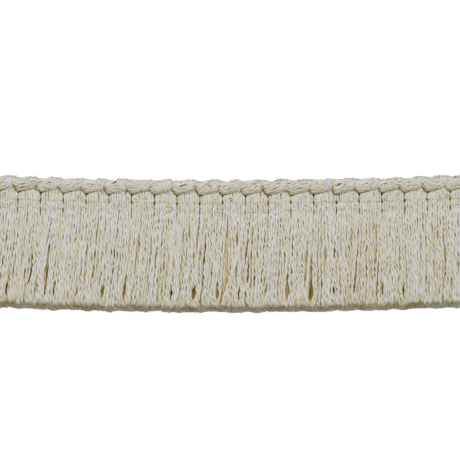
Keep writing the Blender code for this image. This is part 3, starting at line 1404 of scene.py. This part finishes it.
@dataclass
class Stitches:
    """The fine threads that cross the slots between blocks, and the odd loose loop of one.

    Attributes:
        plan: The lines that the fringe is laid out on.
        rows: The height on the plan of each row of stitches.
        half_width: How far a stitch reaches to each side of its slot.
        shown: The share of the slots that a stitch shows at.
        loops: The number of loose loops.
        weave_rows: The height on the plan of each row of the weave.
        per_block: The number of yarns in a block that a row of the weave crosses.
        hidden: The share of the weave's floats that don't show.
    """

    plan: Plan
    rows: tuple[float, ...] = (4.25 * MM, 1.5 * MM)
    half_width: float = 0.95 * MM
    shown: float = 0.7
    loops: int = 9
    weave_rows: tuple[float, ...] = (0.7 * MM, 1.5 * MM, 2.3 * MM, 3.65 * MM, 4.3 * MM, 4.95 * MM)
    per_block: int = 9
    hidden: float = 0.6

    def crossings(self, chance: Chance) -> Array:
        """Works out the stitches that cross the slots.

        Args:
            chance: The source of their unevenness.

        Returns:
            The points of each stitch.
        """
        plan = self.plan
        slots = plan.edge_of(np.arange(1, plan.blocks))
        share = np.linspace(-1, 1, THREAD.rings)
        paths = []
        for row in self.rows:
            for slot in slots[chance.uniform(0, 1, len(slots)) < self.shown]:
                reach = self.half_width * chance.uniform(0.8, 1.2)
                slope = chance.uniform(-0.6, 0.6)
                x = slot + chance.normal(0, 0.1 * MM) + reach * share
                y = row + chance.normal(0, 0.25 * MM) + slope * reach * share
                y = y + chance.normal(0, 0.1 * MM) * (1 - share**2)
                z = plan.root_height - 0.12 * MM - 0.55 * MM * np.abs(share) ** 3
                paths.append(plan.at(x, y, z))
        return np.array(paths)

    def weave(self, chance: Chance) -> Array:
        """Works out the short floats of the weave: each crosses every other yarn of the heading.

        Args:
            chance: The source of their unevenness.

        Returns:
            The points of each float.
        """
        plan = self.plan
        share = np.linspace(-1, 1, WEFT.rings)
        paths = []
        for number, row in enumerate(self.weave_rows):
            for block in range(plan.blocks):
                for yarn in range(1 + number % 2, self.per_block - 1, 2):
                    if chance.uniform() < self.hidden:
                        continue
                    reach = chance.uniform(0.36, 0.52) * MM
                    middle = plan.edge_of(block + (yarn + 0.5) / self.per_block) + chance.normal(0, 0.12 * MM)
                    y = row + chance.normal(0, 0.30 * MM) + chance.uniform(-0.3, 0.3) * reach * share
                    z = plan.root_height - 0.11 * MM - chance.uniform(0.22, 0.36) * MM * share**2
                    paths.append(plan.at(middle + reach * share, y, z))
        return np.array(paths)

    def loose_loops(self, chance: Chance) -> Array:
        """Works out the loops of thread that stand out of the upper row.

        Args:
            chance: The source of their unevenness.

        Returns:
            The points of each loop.
        """
        plan = self.plan
        share = THREAD.shares
        turn = FULL_TURN * (share * 0.94 + 0.03)
        paths = []
        for block in chance.choice(np.arange(1, plan.blocks - 1), self.loops, replace=False):
            wide, tall = chance.uniform(0.32, 0.45) * MM, chance.uniform(0.5, 0.68) * MM
            lean = chance.uniform(-0.7, 0.7)
            flat_x, flat_y = wide * np.sin(turn), -tall * np.cos(turn)
            foot = plan.edge_of(block + chance.uniform(0.15, 0.85))
            x = foot + flat_x * math.cos(lean) - flat_y * math.sin(lean)
            y = chance.uniform(4.0, 4.8) * MM + flat_x * math.sin(lean) + flat_y * math.cos(lean)
            z = plan.root_height + 0.02 * MM - 0.3 * MM * np.abs(2 * share - 1) ** 6
            paths.append(plan.at(x, y, z))
        return np.array(paths)

    def cloths(self) -> dict[str, YarnCloth]:
        """Lays the threads.

        Returns:
            Their meshes by name.
        """
        chance = seeded(Seed.STITCHES)
        paths = np.concatenate([self.crossings(chance), self.loose_loops(chance)])
        look = YarnLook.drawn(chance, len(paths), THREAD)
        look.tone *= 0.3
        floats = self.weave(chance)
        plain = YarnLook.drawn(chance, len(floats), WEFT)
        # Painted shade on the weave's floats, which tints their sides browner.
        plain.sunk += 0.10
        return {"heading_stitches": THREAD.lay(paths, look), "heading_weave": WEFT.lay(floats, plain)}


@dataclass(frozen=True)
class LooseFibre:
    """One kind of loose fibre.

    Attributes:
        form: The fibre.
        count: Their number.
        lift: How far they stand off.
        sweep: How far they run along the roll.
        least_height: How far off the floor they start at least.
        least_back: How far behind the roll's middle they start at least.
    """

    form: YarnForm
    count: int
    lift: float
    sweep: float
    least_height: float
    least_back: float


@dataclass
class Fuzz:
    """Loose fibres that stand off the rolled edge: many fine hairs, and a few thicker wisps.

    Attributes:
        plan: The lines that the fringe is laid out on.
        middle: Where the middle of the roll is: its height on the plan, and off the floor.
        ups: The direction that the fibres' sides are set out from.
        kinds: The kinds of fibre.
    """

    plan: Plan
    middle: tuple[float, float]
    ups: tuple[float, float, float] = (0.3, 0.5, 0.8)
    kinds: tuple[LooseFibre, ...] = (
        LooseFibre(HAIR, 1400, 0.20 * MM, 0.40 * MM, 1.2 * MM, -3.0 * MM),
        LooseFibre(HAIR, 2800, 0.42 * MM, 0.40 * MM, 1.0 * MM, 1.4 * MM),
        LooseFibre(WISP, 60, 0.26 * MM, 1.50 * MM, 1.8 * MM, 0.8 * MM),
    )

    def grow(self, kind: LooseFibre, skin: YarnCloth, chance: Chance) -> YarnCloth:
        """Lays one kind of fibre, each of which starts on a yarn of the rolled edge's skin.

        Args:
            kind: The kind.
            skin: The yarns of the skin.
            chance: The source of their unevenness.

        Returns:
            The fibres.
        """
        plan = self.plan
        column = (kind.count, 1)
        roots = skin.points
        deep = plan.heights(roots) - self.middle[0]
        chosen = np.flatnonzero((roots[:, 2] > kind.least_height) & (deep > kind.least_back))
        chosen = chosen[chance.integers(0, len(chosen), kind.count)]
        roots, deep = roots[chosen], deep[chosen]
        out = np.stack([np.zeros(kind.count), deep, roots[:, 2] - self.middle[1]], axis=1)
        out /= np.linalg.norm(out, axis=1, keepdims=True)
        out += chance.normal(0, 0.35, (kind.count, 3))
        sweep = kind.sweep * (0.3 + chance.normal(0, 1, column))
        lift = kind.lift * (0.5 + chance.gamma(2.0, 0.5, column))
        share = kind.form.shares
        arch = np.sin(share * chance.uniform(1.2, 2.4, column))
        paths = roots[:, None, :] + out[:, None, :] * (lift * arch)[..., None]
        paths[..., 0] += sweep * share**1.3
        paths[..., 1] += 0.35 * sweep * chance.uniform(-1, 1, column) * share**2
        paths[..., 0] = np.clip(paths[..., 0], plan.left, plan.right)
        paths[..., 2] = np.maximum(paths[..., 2], 0.06 * MM)
        look = YarnLook.drawn(chance, kind.count, kind.form)
        look.thickness = look.thickness * (1.05 - share)
        look.tone *= 0.2
        look.groove *= 0.0
        look.sunk -= 0.1
        return kind.form.lay(paths, look, np.array(self.ups))

    def cloths(self, skin: YarnCloth) -> dict[str, YarnCloth]:
        """Returns the mesh of every kind of fibre by its name."""
        grown = [self.grow(kind, skin, seeded(Seed.FUZZ + index)) for index, kind in enumerate(self.kinds)]
        return {FUZZ: YarnCloth.joined(grown)}


@dataclass
class Fringe:
    """The whole fringe: its parts, and the shade painted on each yarn by its depth in the pile.

    Attributes:
        plan: The lines that it is laid out on.
        tip_reach: How far in from the cut ends the shade eases off.
        end_reach: How far in from the two ends of the length it does.
        tip_shades: The least and the most shade at the cut ends.
        row_shade: The shade at the ends of the upper heading row.
        end_shade: The shade at the ends of the rolled edge.
        slot_reach: How far the shade of a slot between blocks reaches to each side.
        slot_shade: How much shade is painted on a slot's sides at least, and how much more where it is open.
        crease_shade: How much shade is painted in the crease between the two heading rows at most.
    """

    plan: Plan
    tip_reach: float = 2.4 * MM
    end_reach: float = 2.6 * MM
    tip_shades: tuple[float, float] = (0.1, 0.33)
    row_shade: float = 0.2
    end_shade: float = 0.25
    slot_reach: float = 0.24 * MM
    slot_shade: tuple[float, float] = (0.02, 0.85)
    crease_shade: float = 0.30

    def shade(self, cloth: YarnCloth, canopy: Canopy, tip_shade: float) -> None:
        """Gives each vertex its painted shade: its depth, eased off where the pile is open to the light.

        Args:
            cloth: The yarns.
            canopy: The upper face of the pile.
            tip_shade: The most painted shade at the cut ends and at the ends of the length, on the whole.
        """
        points = cloth.points
        to_tip = (self.plan.free + self.plan.heights(points)) / self.tip_reach
        # Painted shade at the cut ends: streaks along the length that stand in for the shade between layers
        # of cut ends.
        streak = drift(seeded(len(points)), points[:, 0], 0.17, (31, 13, 7.7, 4.1, 2.3))
        at_tip = np.clip(tip_shade + streak, *self.tip_shades)
        most = at_tip + (1 - at_tip) * held(np.minimum(to_tip, self.inward(points)))
        painted_shade = np.maximum(canopy.depth(points), cloth.painted_shade) + self.in_openings(points)
        cloth.painted_shade = np.minimum(painted_shade, most)

    def inward(self, points: Array) -> Array:
        """Works out how far in from the two ends of the length each vertex is.

        Args:
            points: The vertices.

        Returns:
            Shares from 0 at an end to 1 at the end's reach.
        """
        plan = self.plan
        x = points[:, 0]
        lean = plan.lean_at(x) * held(-plan.heights(points) / plan.free)
        return held(np.minimum(x - plan.left - lean, plan.right + lean - x) / self.end_reach) ** 2

    def in_openings(self, points: Array) -> Array:
        """Works out how much more shade is painted on each vertex for being beside a slot or in the heading's
        crease.

        Args:
            points: The vertices.

        Returns:
            The added painted shade.
        """
        plan = self.plan
        x = points[:, 0]
        height = plan.heights(points)
        block = (x - plan.left) / plan.pitch
        slot = np.clip(np.round(block), 0, plan.blocks).astype(int)
        beside = np.clip(block, 0, plan.blocks - 1).astype(int)
        least, more = self.slot_shade
        shade_strength = seeded(Seed.SLOT_SHADES).uniform(0.4, 1.2, plan.blocks + 1)[slot]
        strength = shade_strength * (least + more * (plan.slot_at(height, beside) - plan.slot) / plan.slot_wide)
        reach = self.slot_reach * (1 + 0.7 * bump(height, plan.notch, 0.8 * MM))
        at_slot = strength * bump(block * plan.pitch, slot * plan.pitch, reach) * eased(height / MM + 1.2)
        patchy = held(0.4 + drift(seeded(Seed.CREASE_PATCHES), x, 0.7, (17, 5.3, 2.9, 1.3)))
        uneven = height + drift(seeded(Seed.CREASE_LINE), x, 0.15 * MM, (9, 3.1))
        return at_slot + self.crease_shade * patchy * bump(uneven, plan.crease, 0.22 * MM)

    def place(self, cloths: dict[str, YarnCloth], part: Part, materials: Materials) -> int:
        """Makes the pieces that stand for one solid, and fits them in the frame.

        Args:
            cloths: The pieces' meshes, by name.
            part: The solid.
            materials: The finish of each solid's yarns, and of any piece that has its own.

        Returns:
            The number of their triangles.
        """
        total = 0
        for name, cloth in cloths.items():
            cloth.points[:, 2] = np.maximum(cloth.points[:, 2], FLOOR_GAP)
            cloth.painted_shade = held(cloth.painted_shade)
            piece = cloth.as_object(name, materials.get(name, materials[part]))
            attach(piece, BODY)
            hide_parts(part.node)
            part.slot
            triangles = sum(len(face) - 2 for face in cloth.faces)
            LOG.info("%s: %d triangles", piece.name, triangles)
            total += triangles
        return total

    def build(self, materials: Materials) -> None:
        """Makes every piece, and fits it in the frame in place of its solid.

        Args:
            materials: The finish of each solid's yarns, and of any piece that has its own.
        """
        lobe = Lobe()
        pile = Skirt(self.plan)
        skirt = pile.cloths()
        row = HeadingRow(self.plan, lobe).cloths()
        canopy = Canopy(np.concatenate([cloth.points for cloth in (*skirt.values(), *row.values())]))
        for cloth, layer in zip(skirt.values(), pile.layers):
            self.shade(cloth, canopy, layer.tip_shade)
        for cloth in row.values():
            self.shade(cloth, canopy, self.row_shade)
        row.update(Stitches(self.plan).cloths())
        rolled = RolledEdge(self.plan, lobe)
        edge = rolled.cloths()
        # Less shade is painted on the rolled edge near the two ends of the length.
        for cloth in edge.values():
            most = self.end_shade + (1 - self.end_shade) * self.inward(cloth.points)
            cloth.painted_shade = np.minimum(cloth.painted_shade, most)
        edge.update(Fuzz(self.plan, rolled.fill_middle).cloths(edge[SKIN]))
        pieces = {Part.SKIRT: skirt, Part.ROW: row, Part.EDGE: edge}
        total = sum(self.place(cloths, part, materials) for part, cloths in pieces.items())
        LOG.info("fringe: %d triangles in all", total)


@dataclass
class Studio:
    """The plain floor, the soft lights and the camera.

    Attributes:
        aim: The point at the middle of the picture.
        tilt: How far the camera leans from straight above towards the cut ends, in degrees.
        distance: The camera's distance.
        view_width: The width of the view at that distance.
        sensor: The width of the camera's sensor, in millimetres.
        sky: The strength of the even sky.
        floor_colour: The floor's colour.
        floor_reach: How far the floor reaches from its middle.
        clip: The nearest and the farthest that the camera sees.
        glow: How much the camera sees the floor shine, so that it is white.
        lamps: The name, place, size and power of each lamp.
    """

    aim: tuple[float, float, float] = (3.26 * MM, 3.35 * MM, 3.0 * MM)
    tilt: float = 16.0
    distance: float = 0.9
    view_width: float = 131.0 * MM
    sensor: float = 36.0
    sky: float = 0.48
    floor_colour: tuple[float, float, float, float] = (0.65, 0.65, 0.65, 1.0)
    floor_reach: float = 3.0
    clip: tuple[float, float] = (0.01, 10.0)
    glow: float = 0.72
    lamps: tuple[tuple[str, tuple[float, float, float], float, float], ...] = (
        ("key_light", (-0.10, 0.50, 0.75), 0.45, 4.4),
        ("fill_light", (0.35, -0.05, 0.9), 0.6, 1.3),
    )

    def build(self) -> None:
        """Adds the camera, the floor and the lights."""
        self.camera()
        self.floor()
        self.lights()
        bpy.context.scene.view_settings.view_transform = "Standard"

    def camera(self) -> None:
        """Adds the camera."""
        data = bpy.data.cameras.new("camera")
        data.sensor_width = self.sensor
        data.lens = self.sensor * self.distance / self.view_width
        data.clip_start, data.clip_end = self.clip
        camera = put_in_scene("camera", data)
        tilt = math.radians(self.tilt)
        camera.location = Vector(self.aim) + self.distance * Vector((0.0, -math.sin(tilt), math.cos(tilt)))
        camera.rotation_euler = (tilt, 0.0, 0.0)
        bpy.context.scene.camera = camera

    def floor(self) -> None:
        """Adds the pale floor."""
        bm = bmesh.new()
        bmesh.ops.create_grid(bm, x_segments=4, y_segments=4, size=self.floor_reach)
        mesh = bpy.data.meshes.new("floor")
        bm.to_mesh(mesh)
        bm.free()
        material, nodes = NodeTree.of_material("floor_white")
        shader = nodes.surface({"Base Color": self.floor_colour, "Roughness": 0.9, "Emission Color": WHITE})
        path = nodes.add("ShaderNodeLightPath")
        glow = nodes.math("MULTIPLY", path.outputs["Is Camera Ray"], self.glow)
        nodes.link(glow, shader.inputs["Emission Strength"])
        mesh.materials.append(material)
        put_in_scene("floor", mesh)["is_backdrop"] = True

    def lights(self) -> None:
        """Adds a soft key light from behind the rolled edge, a fill and an even sky."""
        world = bpy.data.worlds.new("studio")
        world.use_nodes = True
        nodes = NodeTree(world.node_tree)
        sky = nodes.add("ShaderNodeBackground", {"Color": WHITE})
        path = nodes.add("ShaderNodeLightPath")
        seen = nodes.math("MULTIPLY_ADD", path.outputs["Is Camera Ray"], 1.0 - self.sky, self.sky)
        nodes.link(seen, sky.inputs["Strength"])
        nodes.link(sky.outputs[0], nodes.add("ShaderNodeOutputWorld").inputs["Surface"])
        bpy.context.scene.world = world
        for name, place, size, power in self.lamps:
            data = bpy.data.lights.new(name, "AREA")
            data.shape = "DISK"
            data.size = size
            data.energy = power
            light = put_in_scene(name, data)
            light.location = place
            light.rotation_euler = Vector(place).to_track_quat("Z", "Y").to_euler()


def main() -> None:
    """Builds the studio and every piece of the fringe, and reports each."""
    logging.basicConfig(level=logging.INFO, format="%(message)s")
    Studio().build()
    fibres = FibreGroup()
    yarn = YarnFinish(Part.SKIRT.slot)
    finishes = {
        Part.SKIRT: yarn,
        Part.ROW: replace(yarn, name=Part.ROW.slot),
        # The rolled edge's yarns are the same cotton with painted light: a lighter, bluer lit colour and a
        # lighter, yellower side shade. The loose fibres are painted far lighter, as painted light through
        # thin fibres.
        Part.EDGE: replace(yarn, name=Part.EDGE.slot, lit=(0.655, 0.665, 0.672), groove=(0.645, 0.60, 0.39)),
        FUZZ: replace(yarn, name="edge_fuzz_fibre", lit=(0.88, 0.88, 0.86), groove=(0.84, 0.80, 0.66)),
    }
    materials = {part: finish.material(fibres) for part, finish in finishes.items()}
    Fringe(Plan.from_frame()).build(materials)
    boxes = {"cad": CAD_BOX, "visual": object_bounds()}
    {name: [list(corner) for corner in box] for name, box in boxes.items()}


if __name__ == "__main__":
    main()
